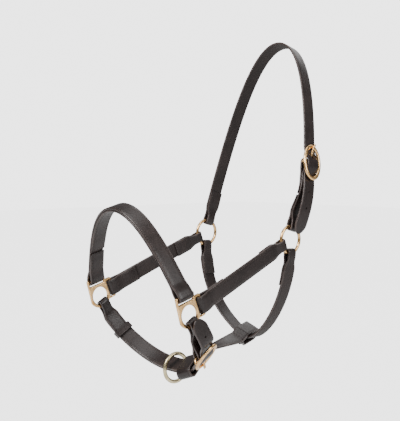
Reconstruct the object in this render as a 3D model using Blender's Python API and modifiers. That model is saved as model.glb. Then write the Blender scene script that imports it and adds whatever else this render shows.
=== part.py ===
"""Leather headcollar for a horse, set out in the shape it has when it is worn.

Metres, +Z up. -Y points to the horse's nose and +X to its near (left) side. The
origin is the poll: the middle of the crown strap's underside, on the centre plane.
Each strap is flat across its width, so it is drawn as a line in its own plane,
swept across the strap's width and given the thickness of the leather.
"""
from math import atan2, ceil, cos, degrees, pi, radians, sin

import bmesh
import bpy
from mathutils import Matrix, Vector

# Leather
STRAP_WIDTH = 0.020
EYE_WIDTH = 0.014          # a strap is skived to this width where it goes round a ring
LEATHER = 0.0026           # thickness of one layer
GAP = 0.0003               # clearance between pieces that touch
TURN_BACK = 0.045          # length of a folded end, from its fold
LAYER = (LEATHER + GAP) / 2

# The horse's head, as the straps lie on it
CROWN_RISE = 0.280         # cheek rings up to the underside of the crown strap
CROWN_LEAN = radians(14.8)
CHEEK_LENGTH = 0.200       # centre of dee to centre of ring
CHEEK_SLOPE = radians(21.3)
RING_X = 0.082
DEE_X = 0.090
NOSE_RISE = 0.124          # dees up to the middle of the noseband
NOSE_CANT = radians(6)     # the noseband leans back by this much from square
CHIN_DROP = 0.0975
CHIN_LEAN = radians(30)
THROAT_DROP = 0.137
THROAT_LEAN = radians(2)
THROAT_X = 0.004           # the throat strap is lowest on the near side of the middle,
THROAT_TILT = radians(27)  # where it slopes down towards the near side
JAW_STAY_X = 0.042         # where the jaw stay leaves the chin strap

# Fittings
WIRE = 0.0020              # radius of every round bar
RING_RADIUS = 0.018        # to the middle of the bar
LEAD_RING_RADIUS = 0.018
LEAD_RING_X = 0.0103
LEAD_RING_DROP = 0.0034     # its centre below the middle of the chin strap
DEE_THICKNESS = 0.0036
DEE_BAR = 0.0040
BUCKLE_LENGTH = 0.0220     # middle of bar to middle of rim, along the strap
BUCKLE_HALF_WIDTH = 0.0150
BUCKLE_RISE = 0.0065       # height of the flat rim over the middle of its bar
ROCK_CLEARANCE = 0.0020
TONGUE_WIDTH = 0.0030
TONGUE_THICKNESS = 0.0026
TONGUE_EYE = 0.0037
TONGUE_OVERHANG = 0.0045   # tip beyond the middle of the rim
HOLE_WIDTH = 0.0046
HOLE_START = 0.0033
HOLE_END = 0.0150

# How a strap lies round a bar, and over and under a buckle
FOLD_RADIUS = WIRE + 0.0006 + LEATHER / 2
FOLD_STRAIGHT = 0.0045
FOLD_LENGTH = 0.0135
BILLET_LOW = BUCKLE_RISE - WIRE - ROCK_CLEARANCE - LEATHER / 2
BILLET_HIGH = FOLD_RADIUS + LEATHER / 0.89 + GAP + 0.0005
CHAPE_LOW = BILLET_LOW - 1.5 * (LEATHER / 0.89 + GAP)

LEATHER_BROWN = (0.045, 0.030, 0.026)
EDGE_BROWN = (0.060, 0.038, 0.030)
BRASS = (0.72, 0.48, 0.20)
PALE_BRASS = (0.56, 0.46, 0.27)


# ---------------------------------------------------------------- scene and finishes

def clear_scene():
    for old in list(bpy.data.objects):
        bpy.data.objects.remove(old, do_unlink=True)


def new_collection(name):
    group = bpy.data.collections.new(name)
    bpy.context.scene.collection.children.link(group)
    return group


def finish(name, colour, roughness, metallic=0.0):
    material = bpy.data.materials.new(name)
    material.use_nodes = True
    shader = material.node_tree.nodes["Principled BSDF"]
    shader.inputs["Base Color"].default_value = (*colour, 1.0)
    shader.inputs["Roughness"].default_value = roughness
    shader.inputs["Metallic"].default_value = metallic
    return material


clear_scene()
PARTS = new_collection("leather_headcollar")
CUTTERS = new_collection("cutters")


# ---------------------------------------------------------------- frames

def axes(origin, x, y):
    """A local frame with its x and y along the given unit vectors."""
    z = x.cross(y).normalized()
    turn = Matrix((x, y, z)).transposed().to_4x4()
    return Matrix.Translation(origin) @ turn


ACROSS = Vector((1, 0, 0))
CROWN_UP = Vector((0, sin(CROWN_LEAN), cos(CROWN_LEAN)))
CHEEK = Vector((0, cos(CHEEK_SLOPE), sin(CHEEK_SLOPE)))
BROW = Vector((0, -sin(CHEEK_SLOPE), cos(CHEEK_SLOPE)))
NOSE_UP = CHEEK * sin(NOSE_CANT) + BROW * cos(NOSE_CANT)
CHIN_DOWN = Vector((0, sin(CHIN_LEAN), -cos(CHIN_LEAN)))
THROAT_DOWN = Vector((0, -sin(THROAT_LEAN), -cos(THROAT_LEAN)))

RING_LEVEL = -CROWN_RISE * CROWN_UP
DEE_LEVEL = RING_LEVEL - CHEEK_LENGTH * CHEEK

CROWN_PLANE = axes(RING_LEVEL, ACROSS, CROWN_UP)
THROAT_PLANE = axes(RING_LEVEL, ACROSS, THROAT_DOWN)
NOSE_PLANE = axes(DEE_LEVEL, ACROSS, NOSE_UP)
CHIN_PLANE = axes(DEE_LEVEL, ACROSS, CHIN_DOWN)


# ---------------------------------------------------------------- lines in a plane

def bezier(start, start_pull, end_pull, end, count=14):
    """Points on a cubic curve, without its first one."""
    a, b, c, d = (Vector(point) for point in (start, start_pull, end_pull, end))
    points = []
    for i in range(1, count + 1):
        t = i / count
        s = 1 - t
        points.append(a * s**3 + b * 3 * s * s * t + c * 3 * s * t * t + d * t**3)
    return points


def lengths(line):
    """Distance along the line of each of its points."""
    run = [0.0]
    for a, b in zip(line, line[1:]):
        run.append(run[-1] + (b - a).length)
    return run


def left_of(line, i):
    """Unit vector to the left of the line at point i."""
    ahead = line[min(i + 1, len(line) - 1)] - line[max(i - 1, 0)]
    return Vector((-ahead.y, ahead.x)).normalized()


def ease(t):
    t = min(max(t, 0.0), 1.0)
    return t * t * (3 - 2 * t)


def spread(distance, apart=FOLD_RADIUS):
    """Half the space between a folded strap's two layers, at this distance from the fold."""
    return apart + (LAYER - apart) * ease((distance - FOLD_STRAIGHT) / FOLD_LENGTH)


def point_at(line, distance):
    """The point at this distance along the line."""
    run = lengths(line)
    i = next(k for k in range(1, len(run)) if run[k] >= distance or k == len(run) - 1)
    return line[i - 1].lerp(line[i], (distance - run[i - 1]) / (run[i] - run[i - 1]))


def at_x(line, x):
    """The point of a line that runs towards +x, at this x."""
    i = next(k for k, point in enumerate(line) if point.x > x)
    return line[i - 1].lerp(line[i], (x - line[i - 1].x) / (line[i].x - line[i - 1].x))


def part_of(line, low, high):
    """The line between two distances along it."""
    run = lengths(line)
    middle = [point for point, at in zip(line, run) if low + 0.0005 < at < high - 0.0005]
    return [point_at(line, low)] + middle + [point_at(line, high)]


def both_ends(at, whole):
    """Half space between the layers of a strap that is folded at both ends."""
    return spread(min(at, whole - at))


def first_end(at, _whole):
    """Half space between the layers of a strap that is folded at its start only."""
    return spread(at)


def layer(line, side, low=0.0, high=None, spacing=both_ends):
    """One layer of a doubled strap: the line moved sideways (+1 left, -1 right)."""
    whole = lengths(line)[-1]
    piece = part_of(line, low, whole if high is None else high)
    points = []
    for i, (point, at) in enumerate(zip(piece, lengths(piece))):
        points.append(point + left_of(piece, i) * side * spacing(low + at, whole))
    return points


def fold(centre, away, side, radius=FOLD_RADIUS, steps=8):
    """Points of a turn round a bar, from one layer to the other.

    The strap leaves the bar along away. It starts on its left where side is 1."""
    away = Vector(away).normalized()
    left = Vector((-away.y, away.x))
    points = []
    for i in range(steps + 1):
        angle = pi * i / steps
        points.append(centre + radius * (left * side * cos(angle) - away * sin(angle)))
    return points


def distinct(points, closest=0.0004):
    """The line without points that nearly coincide."""
    kept = [points[0]]
    for point in points[1:]:
        if (point - kept[-1]).length > closest:
            kept.append(point)
    return kept


# ---------------------------------------------------------------- solids

def place(obj, frame, material):
    obj.matrix_world = frame
    obj.data.materials.append(material)
    PARTS.objects.link(obj)
    return obj


def strap(name, line, frame, material, eyes=(), width=STRAP_WIDTH, leather=LEATHER):
    """A band of leather along the line. It narrows near each point of eyes."""
    line = distinct(line)
    curve = bpy.data.curves.new(name, "CURVE")
    curve.dimensions = "2D"
    curve.fill_mode = "NONE"
    curve.extrude = width / 2
    spline = curve.splines.new("POLY")
    spline.points.add(len(line) - 1)
    for knot, point in zip(spline.points, line):
        knot.co = (point.x, point.y, 0, 1)
        near = min([(point - Vector(eye)).length for eye in eyes], default=1.0)
        full = ease((near - 0.009) / 0.014)
        knot.radius = EYE_WIDTH / width + (1 - EYE_WIDTH / width) * full if eyes else 1.0
    obj = place(bpy.data.objects.new(name, curve), frame, material)
    thick = obj.modifiers.new("thickness", "SOLIDIFY")
    thick.thickness = leather
    thick.offset = 0
    thick.use_even_offset = True
    return obj


def as_mesh(obj):
    """The object with its modifiers applied, as a mesh object of the same name."""
    evaluated = obj.evaluated_get(bpy.context.evaluated_depsgraph_get())
    mesh = bpy.data.meshes.new_from_object(evaluated)
    tidy = bmesh.new()
    tidy.from_mesh(mesh)
    bmesh.ops.remove_doubles(tidy, verts=tidy.verts, dist=0.00001)
    bmesh.ops.recalc_face_normals(tidy, faces=tidy.faces)
    tidy.to_mesh(mesh)
    tidy.free()
    name, frame = obj.name, obj.matrix_world.copy()
    bpy.data.objects.remove(obj, do_unlink=True)
    solid = bpy.data.objects.new(name, mesh)
    solid.matrix_world = frame
    PARTS.objects.link(solid)
    return solid


def boolean(solid, other, operation):
    CUTTERS.objects.link(other)
    other.hide_render = True
    other.display_type = "WIRE"
    cut = solid.modifiers.new(other.name, "BOOLEAN")
    cut.operation = operation
    cut.object = other


def box(name, frame, low, high):
    """A cutter box between two corners of the frame."""
    mesh = bpy.data.meshes.new(name)
    shape = bmesh.new()
    bmesh.ops.create_cube(shape, size=1)
    size = Vector(high) - Vector(low)
    middle = (Vector(high) + Vector(low)) / 2
    bmesh.ops.scale(shape, vec=size, verts=shape.verts)
    bmesh.ops.translate(shape, vec=middle, verts=shape.verts)
    shape.to_mesh(mesh)
    shape.free()
    obj = bpy.data.objects.new(name, mesh)
    obj.matrix_world = frame
    return obj


def plate(name, outlines, thickness, frame, material, bevel=0.0):
    """A flat piece between closed outlines in the frame's x-y plane; later ones are holes."""
    curve = bpy.data.curves.new(name, "CURVE")
    curve.dimensions = "2D"
    curve.fill_mode = "BOTH"
    curve.extrude = thickness / 2 - bevel
    curve.bevel_depth = bevel
    curve.bevel_resolution = 1
    curve.offset = -bevel
    for outline in outlines:
        spline = curve.splines.new("POLY")
        spline.points.add(len(outline) - 1)
        for knot, point in zip(spline.points, outline):
            knot.co = (point[0], point[1], 0, 1)
        spline.use_cyclic_u = True
    obj = place(bpy.data.objects.new(name, curve), frame, material)
    solid = as_mesh(obj)
    return solid


def torus(name, frame, radius, material, wire=WIRE):
    """A round ring in the frame's x-y plane."""
    bpy.ops.mesh.primitive_torus_add(major_radius=radius, minor_radius=wire,
                                     major_segments=40, minor_segments=10)
    obj = bpy.context.object
    for group in list(obj.users_collection):
        group.objects.unlink(obj)
    obj.name = name
    obj.data.name = name
    obj.data.shade_smooth()
    return place(obj, frame, material)


def arc(centre, radius, start, end, steps):
    """Points on a circle or, where radius is a pair, on an ellipse. Angles in degrees."""
    rx, ry = radius if isinstance(radius, tuple) else (radius, radius)
    points = []
    for i in range(steps + 1):
        angle = radians(start + (end - start) * i / steps)
        points.append((centre[0] + rx * cos(angle), centre[1] + ry * sin(angle)))
    return points


def rounded_box(low, high, radius, steps=2):
    """Outline of a rectangle with round corners."""
    (x0, y0), (x1, y1) = low, high
    corners = ((x1 - radius, y1 - radius), (x0 + radius, y1 - radius),
               (x0 + radius, y0 + radius), (x1 - radius, y0 + radius))
    points = []
    for i, corner in enumerate(corners):
        points += arc(corner, radius, 90 * i, 90 * (i + 1), steps)
    return points


def turned(points, angle):
    """The points turned about the origin, anticlockwise."""
    c, s = cos(angle), sin(angle)
    return [(c * x - s * y, s * x + c * y) for x, y in points]


# ---------------------------------------------------------------- square dees

DEE_OVAL_DROP = 0.003      # dee centre to the middle of its oval, along the chin strap
DEE_OVAL = (0.0115, 0.0120)
NOSE_SLOT = (0.0135, 0.0185)
CHEEK_SLOT = (0.0155, 0.0198)
SLOT_HALF = 0.0112


def dee_plane(side):
    """x along the cheek strap, y towards the brow."""
    return axes(DEE_LEVEL + ACROSS * side * DEE_X, CHEEK, BROW)


def oval_centre():
    return (DEE_OVAL_DROP * CHIN_DOWN.dot(CHEEK), DEE_OVAL_DROP * CHIN_DOWN.dot(BROW))


def square_dee(name, side, material):
    """A cast plate with a slot for the noseband, one for the cheek and an oval."""
    middle = oval_centre()
    rim = DEE_OVAL[1] + DEE_BAR
    reach = SLOT_HALF + 0.0030
    nose_top = NOSE_SLOT[1] + DEE_BAR
    cheek_end = CHEEK_SLOT[1] + DEE_BAR
    corner = 0.0020
    outline = arc(middle, rim, 195, 318, 14)
    outline += arc((cheek_end - corner, -reach + corner), corner, -90, 0, 2)
    outline += arc((cheek_end - corner, reach - corner), corner, 0, 90, 2)
    nose_end = [(reach, nose_top - corner), (reach - corner, nose_top),
                (-reach + corner, nose_top), (-reach, nose_top - corner)]
    outline += [(reach + 0.0012, reach + 0.0005)]
    outline += turned(nose_end, -NOSE_CANT)
    oval = arc(middle, DEE_OVAL, 0, 345, 23)
    nose_slot = turned(rounded_box((-SLOT_HALF, NOSE_SLOT[0]), (SLOT_HALF, NOSE_SLOT[1]),
                                   0.0012), -NOSE_CANT)
    cheek_slot = rounded_box((CHEEK_SLOT[0], -SLOT_HALF), (CHEEK_SLOT[1], SLOT_HALF), 0.0012)
    dee = plate(name, [outline, oval, nose_slot, cheek_slot], DEE_THICKNESS,
                dee_plane(side), material, bevel=0.0009)
    return dee


# ---------------------------------------------------------------- buckles

class Buckle:
    """A buckle's place on its strap: bar in the plane, tongue direction, outward side."""

    def __init__(self, bar, towards, outwards, plane):
        self.bar = Vector(bar)
        self.along = Vector(towards).normalized()
        self.out = Vector((-self.along.y, self.along.x))
        if self.out.dot(Vector(outwards)) < 0:
            self.out = -self.out
        self.plane = plane

    def point(self, t, n):
        """t along the tongue from the bar, n outwards."""
        return self.bar + self.along * t + self.out * n

    def frame(self):
        """x along the tongue, y outwards, z along the bar, origin on the bar."""
        turn = self.plane.to_3x3()
        origin = self.plane @ Vector((*self.bar, 0))
        x = turn @ Vector((*self.along, 0))
        y = turn @ Vector((*self.out, 0))
        return axes(origin, x, y)

    def billet(self, ends=0.026, steps=20):
        """The holed strap, from the tongue's side: under the rim, over the bar, and under."""
        points = []
        for i in range(steps + 1):
            t = ends * (1 - 2 * i / steps)
            lift = (1 + cos(pi * min(1.0, abs(t) / BUCKLE_LENGTH))) / 2
            points.append(self.point(t, BILLET_LOW + (BILLET_HIGH - BILLET_LOW) * lift))
        return points

    def chape(self, steps=10):
        """Middle of the doubled strap that holds the bar, from the rim up to the bar."""
        points = []
        for i in range(steps + 1):
            share = 1 - i / steps
            drop = (1 - cos(pi * share)) / 2
            points.append(self.point(-BUCKLE_LENGTH * share, CHAPE_LOW * drop))
        return points


def wire(name, points, frame, material, cyclic=False, radius=WIRE):
    """A round bar along the points."""
    curve = bpy.data.curves.new(name, "CURVE")
    curve.dimensions = "3D"
    curve.bevel_depth = radius
    curve.bevel_resolution = 2
    curve.use_fill_caps = True
    spline = curve.splines.new("POLY")
    spline.points.add(len(points) - 1)
    for knot, point in zip(spline.points, points):
        knot.co = (*point, 1)
    spline.use_cyclic_u = cyclic
    return as_mesh(place(bpy.data.objects.new(name, curve), frame, material))


def buckle_frame(name, buckle, material):
    """A flat oval rim, with a bar across its middle that dips under the straps."""
    count = 36
    angles = [2 * pi * i / count for i in range(count)]
    oval = [(BUCKLE_LENGTH * cos(a), BUCKLE_RISE, BUCKLE_HALF_WIDTH * sin(a)) for a in angles]
    rim = wire(name, oval, buckle.frame(), material, cyclic=True)
    low, high = STRAP_WIDTH / 2 + 0.0008, BUCKLE_HALF_WIDTH
    half = [(0, 0, low), (0, BUCKLE_RISE * 0.35, low + 0.0016), (0, BUCKLE_RISE, high)]
    bar_line = [(x, y, -z) for x, y, z in half[::-1]] + half
    bar = wire(name + "_bar", bar_line, buckle.frame(), material, radius=WIRE - 0.0002)
    PARTS.objects.unlink(bar)
    boolean(rim, bar, "UNION")
    return rim


def tongue(name, buckle, material):
    """An eye round the bar and a flat shank that rests on the rim."""
    rest = Vector((BUCKLE_LENGTH, BUCKLE_RISE + WIRE + 0.56 * TONGUE_THICKNESS + GAP))
    shank = rest.normalized()
    side = Vector((-shank.y, shank.x)) * TONGUE_THICKNESS / 2
    slope = degrees(atan2(shank.y, shank.x))
    tip = shank * (rest.length + TONGUE_OVERHANG)
    outline = arc((0, 0), TONGUE_EYE, slope + 24, slope + 336, 14)
    outline += [tuple(tip - side * 0.8), tuple(tip + side * 0.5),
                tuple(tip + side * 0.8 - shank * 0.0020)]
    bore = arc((0, 0), WIRE + 0.0002, 0, 330, 11)
    return plate(name, [outline, bore], TONGUE_WIDTH, buckle.frame(), material)


CROWN_BUCKLE = Buckle((0.0895, 0.1040), (-0.21, 0.98), (1, 0), CROWN_PLANE)
CHIN_BUCKLE = Buckle((0.0800, 0.0620), (-0.695, 0.719), (1, 0.5), CHIN_PLANE)


# ---------------------------------------------------------------- straps

RING_EYE = (RING_RADIUS**2 - (EYE_WIDTH / 2) ** 2) ** 0.5   # bar's nearest chord to the centre
DEE_EYE = DEE_OVAL_DROP + ((DEE_OVAL[1] + DEE_BAR / 2) ** 2 - (EYE_WIDTH / 2) ** 2) ** 0.5 - 0.001
NOSE_EYE = NOSE_SLOT[1] + DEE_BAR / 2
CHEEK_EYE = CHEEK_SLOT[1] + DEE_BAR / 2


def doubled_ends(line, main_side, turn_back=TURN_BACK, spacing=both_ends,
                 radii=(FOLD_RADIUS, FOLD_RADIUS)):
    """A strap folded at both ends of the line, with its turned-back ends on one side."""
    run = lengths(line)[-1]
    start, end = line[1] - line[0], line[-2] - line[-1]
    path = layer(line, -main_side, high=turn_back, spacing=spacing)[::-1]
    path += fold(line[0], start, -main_side, radii[0])
    path += layer(line, main_side, spacing=spacing)
    path += fold(line[-1], end, -main_side, radii[1])
    path += layer(line, -main_side, low=run - turn_back, spacing=spacing)[::-1]
    return path


def noseband(leather, edge):
    """The outer band, and the lining that fills the space between its turned-back ends."""
    near_bar = Vector((DEE_X, NOSE_EYE))
    far_bar = Vector((-DEE_X, NOSE_EYE))
    top = (0, NOSE_RISE)
    line = [near_bar]
    line += bezier(near_bar, (0.0720, 0.058), (0.0460, NOSE_RISE), top, 22)
    line += bezier(top, (-0.0460, NOSE_RISE), (-0.0720, 0.058), far_bar, 22)
    strap("noseband", doubled_ends(line, -1), NOSE_PLANE, leather)
    run = lengths(line)[-1]
    lining = layer(line, 1, TURN_BACK + 0.004, run - TURN_BACK - 0.004)
    strap("noseband_lining", lining, NOSE_PLANE, edge)


def cheek_strap(name, side, leather):
    """From the dee's rear bar to the cheek ring, folded round both."""
    start = DEE_LEVEL + CHEEK * CHEEK_EYE + ACROSS * side * DEE_X
    end = RING_LEVEL - CHEEK * RING_EYE + ACROSS * side * RING_X
    along = (end - start).normalized()
    outwards = (ACROSS * side - along * along.dot(ACROSS * side)).normalized()
    length = (end - start).length
    near_ends = [0.003 * i for i in range(8)]
    stations = near_ends + [TURN_BACK, length - TURN_BACK] + [length - a for a in near_ends[::-1]]
    line = [Vector((a, 0)) for a in stations]
    return strap(name, doubled_ends(line, 1), axes(start, along, outwards), leather,
                 eyes=[line[-1]])


def throat_strap(leather):
    near_ring = Vector((RING_X, RING_EYE))
    far_ring = Vector((-RING_X, RING_EYE))
    bottom = Vector((THROAT_X, THROAT_DROP))
    tilt = Vector((cos(THROAT_TILT), sin(THROAT_TILT)))
    line = [near_ring]
    line += bezier(near_ring, (0.081, 0.085), bottom + tilt * 0.030, bottom, 22)
    line += bezier(bottom, bottom - tilt * 0.045, (-0.078, 0.088), far_ring, 22)
    return strap("throat_strap", doubled_ends(line, -1), THROAT_PLANE, leather,
                 eyes=[near_ring, far_ring])


def punch(solid, place_frame, name, start, end, width):
    """Cuts a round-ended hole that runs from start to end along the frame's x."""
    radius = width / 2
    outline = arc((end - radius, 0), radius, -90, 90, 6)
    outline += arc((start + radius, 0), radius, 90, 270, 6)
    cutter = plate(name, [outline], 0.016, place_frame, solid.data.materials[0])
    PARTS.objects.unlink(cutter)
    boolean(solid, cutter, "DIFFERENCE")


def hole_frame(plane, point, ahead, rise):
    """x along the strap, z through it."""
    turn = plane.to_3x3()
    x = turn @ Vector((*ahead.normalized(), 0))
    across = turn @ Vector((0, 0, 1))
    origin = plane @ Vector((*point, 0)) + x.cross(across) * rise
    return axes(origin, x, across)


def holes_along(solid, plane, line, distances, name):
    """Small round holes through a strap at these distances along its line."""
    run = lengths(line)
    for number, distance in enumerate(distances):
        i = min(range(len(run)), key=lambda k: abs(run[k] - distance))
        ahead = line[min(i + 1, len(line) - 1)] - line[max(i - 1, 0)]
        frame = hole_frame(plane, line[i], ahead, 0)
        punch(solid, frame, f"{name}_{number}", -HOLE_WIDTH / 2, HOLE_WIDTH / 2, HOLE_WIDTH)


def pointed_tip(solid, plane, line, name):
    """Trims the line's last end to a point with two slanting cuts."""
    ahead = (line[-1] - line[-3]).normalized()
    turn = plane.to_3x3()
    x = turn @ Vector((*ahead, 0))
    z = turn @ Vector((0, 0, 1))
    tip = plane @ Vector((*line[-1], 0))
    for side in (1, -1):
        slant = Matrix.Rotation(side * radians(52), 4, "Z")
        frame = axes(tip + x * 0.0005, x, z) @ slant
        low = (0, -0.030, -0.010)
        high = (0.030, 0.030, 0.010)
        boolean(solid, box(f"{name}_{side}", frame, low, high), "DIFFERENCE")


def buckled_strap(name, line, buckle, tail, fold_at, plane, leather, hole_distances):
    """A strap folded at its start, run through a buckle, with a loose pointed tail."""
    main = layer(line, 1, spacing=first_end)
    turn_back = layer(line, -1, high=TURN_BACK, spacing=first_end)
    path = turn_back[::-1] + fold(line[0], line[1] - line[0], -1) + main
    path += buckle.billet() + tail
    solid = as_mesh(strap(name, path, plane, leather, eyes=[fold_at]))
    punch(solid, slot_frame(buckle), name + "_slot", HOLE_START, HOLE_END, HOLE_WIDTH)
    holes_along(solid, plane, tail, hole_distances, name + "_hole")
    pointed_tip(solid, plane, tail, name + "_tip")
    return solid


def slot_frame(buckle):
    """x along the tongue, y along the bar, z through the strap."""
    frame = buckle.frame().to_3x3()
    x, y, z = (frame @ Vector(v) for v in ((1, 0, 0), (0, 1, 0), (0, 0, 1)))
    return axes(buckle.frame().translation + y * BILLET_HIGH / 2, x, -z)


def chape(name, line, buckle, plane, leather, eye):
    """A short doubled strap between a ring or dee and a buckle's bar, slotted for the tongue."""
    half = lengths(line)[-1] / 2 - 0.001
    solid = as_mesh(strap(name, doubled_ends(line, -1 if name.startswith("crown") else 1, half),
                          plane, leather, eyes=[eye]))
    slot = box(name + "_slot", buckle.frame(), (-0.0085, -0.004, -0.0024),
               (0.008, 0.010, 0.0024))
    boolean(solid, slot, "DIFFERENCE")
    return solid


def crown(leather):
    """The strap over the poll, and the short strap that holds its buckle."""
    far_ring = Vector((-RING_X, RING_EYE))
    near_ring = Vector((RING_X, RING_EYE))
    top = (0, CROWN_RISE + LEATHER / 2 - LAYER)
    entry = CROWN_BUCKLE.billet()[0] - CROWN_BUCKLE.out * LAYER
    pull = entry + CROWN_BUCKLE.along * 0.050
    line = [far_ring]
    line += bezier(far_ring, (-0.070, 0.130), (-0.056, top[1]), top, 30)
    line += bezier(top, (0.047, top[1]), pull, entry, 24)
    exit_point = CROWN_BUCKLE.billet()[-1]
    tail = bezier(exit_point, exit_point - CROWN_BUCKLE.along * 0.025, (0.0985, 0.035),
                  (0.0925, 0.0085), 14)
    buckled_strap("crown_strap", line, CROWN_BUCKLE, tail, far_ring, CROWN_PLANE, leather,
                  (0.012, 0.034))
    station = CROWN_BUCKLE.chape()
    hold = [near_ring]
    hold += bezier(near_ring, (0.0800, 0.038), station[0] - CROWN_BUCKLE.along * 0.022,
                   station[0], 14)
    hold += station[1:]
    chape("crown_buckle_strap", hold, CROWN_BUCKLE, CROWN_PLANE, leather, near_ring)


def chin_line():
    """Middle of the doubled chin strap from the far dee to the buckle."""
    far_dee = Vector((-DEE_X, DEE_EYE))
    bottom = (0, CHIN_DROP)
    entry = CHIN_BUCKLE.billet()[0] - CHIN_BUCKLE.out * LAYER
    line = [far_dee]
    line += bezier(far_dee, (-0.094, 0.052), (-0.050, CHIN_DROP), bottom, 24)
    line += bezier(bottom, (0.028, CHIN_DROP), entry + CHIN_BUCKLE.along * 0.018, entry, 12)
    return line


def chin(leather, edge):
    far_dee = Vector((-DEE_X, DEE_EYE))
    near_dee = Vector((DEE_X, DEE_EYE))
    line = chin_line()
    exit_point = CHIN_BUCKLE.billet()[-1]
    tail = bezier(exit_point, exit_point - CHIN_BUCKLE.along * 0.006, (0.1010, 0.028),
                  (0.0995, 0.0080), 10)
    buckled_strap("chin_strap", line, CHIN_BUCKLE, tail, far_dee, CHIN_PLANE, leather,
                  (0.012,))
    lining = layer(line, -1, TURN_BACK + 0.004, lengths(line)[-1] - 0.016, first_end)
    strap("chin_strap_lining", lining, CHIN_PLANE, edge)
    bar = CHIN_BUCKLE.bar
    hold = [near_dee] + bezier(near_dee, (0.0895, 0.032), bar + Vector((0.0040, -0.016)), bar, 18)
    chape("chin_buckle_strap", hold, CHIN_BUCKLE, CHIN_PLANE, leather, near_dee)


KEEPER_DISTANCE = 0.047
KEEPER_LENGTH = 0.009
KEEPER_LEATHER = 0.0018
KEEPER_CLEARANCE = 0.0005


def chin_keeper(leather):
    """A leather loop that slides on the doubled chin strap."""
    line = chin_line()
    run = lengths(line)
    i = min(range(len(run)), key=lambda k: abs(run[k] - KEEPER_DISTANCE))
    ahead = (line[i + 1] - line[i - 1]).normalized()
    turn = CHIN_PLANE.to_3x3()
    out = turn @ Vector((-ahead.y, ahead.x, 0))
    across = turn @ Vector((0, 0, 1))
    frame = axes(CHIN_PLANE @ Vector((*line[i], 0)), across, out)
    half_width = STRAP_WIDTH / 2 + KEEPER_CLEARANCE
    half_height = LAYER + LEATHER / 2 + KEEPER_CLEARANCE
    outer_width = half_width + KEEPER_LEATHER
    outer_height = half_height + KEEPER_LEATHER
    outer = rounded_box((-outer_width, -outer_height), (outer_width, outer_height), 0.0020)
    inner = rounded_box((-half_width, -half_height), (half_width, half_height), 0.0004, 1)
    return plate("chin_keeper", [outer, inner], KEEPER_LENGTH, frame, leather)


JAW_LOOPS = (0.0061, 0.0085)   # half height of the loops at the chin and the throat
JAW_REACH = 0.0120             # each loop's round end lies this far beyond the strap in it
JAW_CLOSING = 0.013            # length over which a loop's two layers come together
JAW_SAMPLE = 0.010             # the chin strap's run is taken this far to either side
JAW_PULLS = (1.6, 2.6)         # how far the line runs straight on, in reaches, from each loop
JAW_TWIST = 0.032              # the turn starts and ends at this distance from each strap


def slope_in(frame_x, frame_y, direction):
    """Unit vector of a world direction seen in the plane of two world axes."""
    return Vector((direction.dot(frame_x), direction.dot(frame_y))).normalized()


def jaw_height(at, whole):
    """Half the space between the jaw stay's two layers."""
    loop = JAW_LOOPS[0] if at < whole / 2 else JAW_LOOPS[1]
    share = ease((min(at, whole - at) - 2 * JAW_REACH) / JAW_CLOSING)
    return loop + (LAYER - loop) * share


def jaw_stay(leather):
    """The strap under the jaw, looped round the chin strap and the throat strap.

    It turns about its own length, so that each loop lies along the strap in it."""
    line = chin_line()
    left, centre, right = (at_x(line, JAW_STAY_X + x) for x in (-JAW_SAMPLE, 0, JAW_SAMPLE))
    chin_point = CHIN_PLANE @ ((left + right) / 4 + centre / 2).to_3d()
    chin_way = CHIN_PLANE.to_3x3() @ (right - left).to_3d()
    throat_point = THROAT_PLANE @ Vector((THROAT_X, THROAT_DROP, 0))
    throat_way = ACROSS * cos(THROAT_TILT) + THROAT_DOWN * sin(THROAT_TILT)
    along = (throat_point - chin_point).normalized()
    length = (throat_point - chin_point).length
    up = chin_way.cross(along).normalized()
    throat_up = throat_way.cross(along).normalized()
    roll = atan2(up.cross(throat_up).dot(along), up.dot(throat_up))

    over_chin = slope_in(along, up, CHIN_PLANE.to_3x3().col[2]) * JAW_REACH
    over_throat = slope_in(along, throat_up, THROAT_PLANE.to_3x3().col[2]) * JAW_REACH
    chin_end = Vector((-JAW_TWIST, 0))
    throat_end = Vector((length - JAW_TWIST, 0))
    middle = [chin_end - over_chin, chin_end + over_chin]
    middle += bezier(middle[1], middle[1] + over_chin * JAW_PULLS[0],
                     throat_end - over_throat * JAW_PULLS[1], throat_end - over_throat, 20)
    middle.append(throat_end + over_throat)
    path = doubled_ends(middle, 1, TURN_BACK, jaw_height, JAW_LOOPS)
    frame = axes(chin_point + along * JAW_TWIST, along, up)
    solid = strap("jaw_stay", path, frame, leather)

    low = middle[0].x - JAW_LOOPS[0] - LEATHER / 2
    whole = middle[-1].x + JAW_LOOPS[1] + LEATHER / 2 - low
    twist = solid.modifiers.new("roll", "SIMPLE_DEFORM")
    twist.deform_method = "TWIST"
    twist.deform_axis = "X"
    twist.angle = roll
    twist.limits = (-low / whole, (length - 2 * JAW_TWIST - low) / whole)
    return solid


# ---------------------------------------------------------------- assembly

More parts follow.
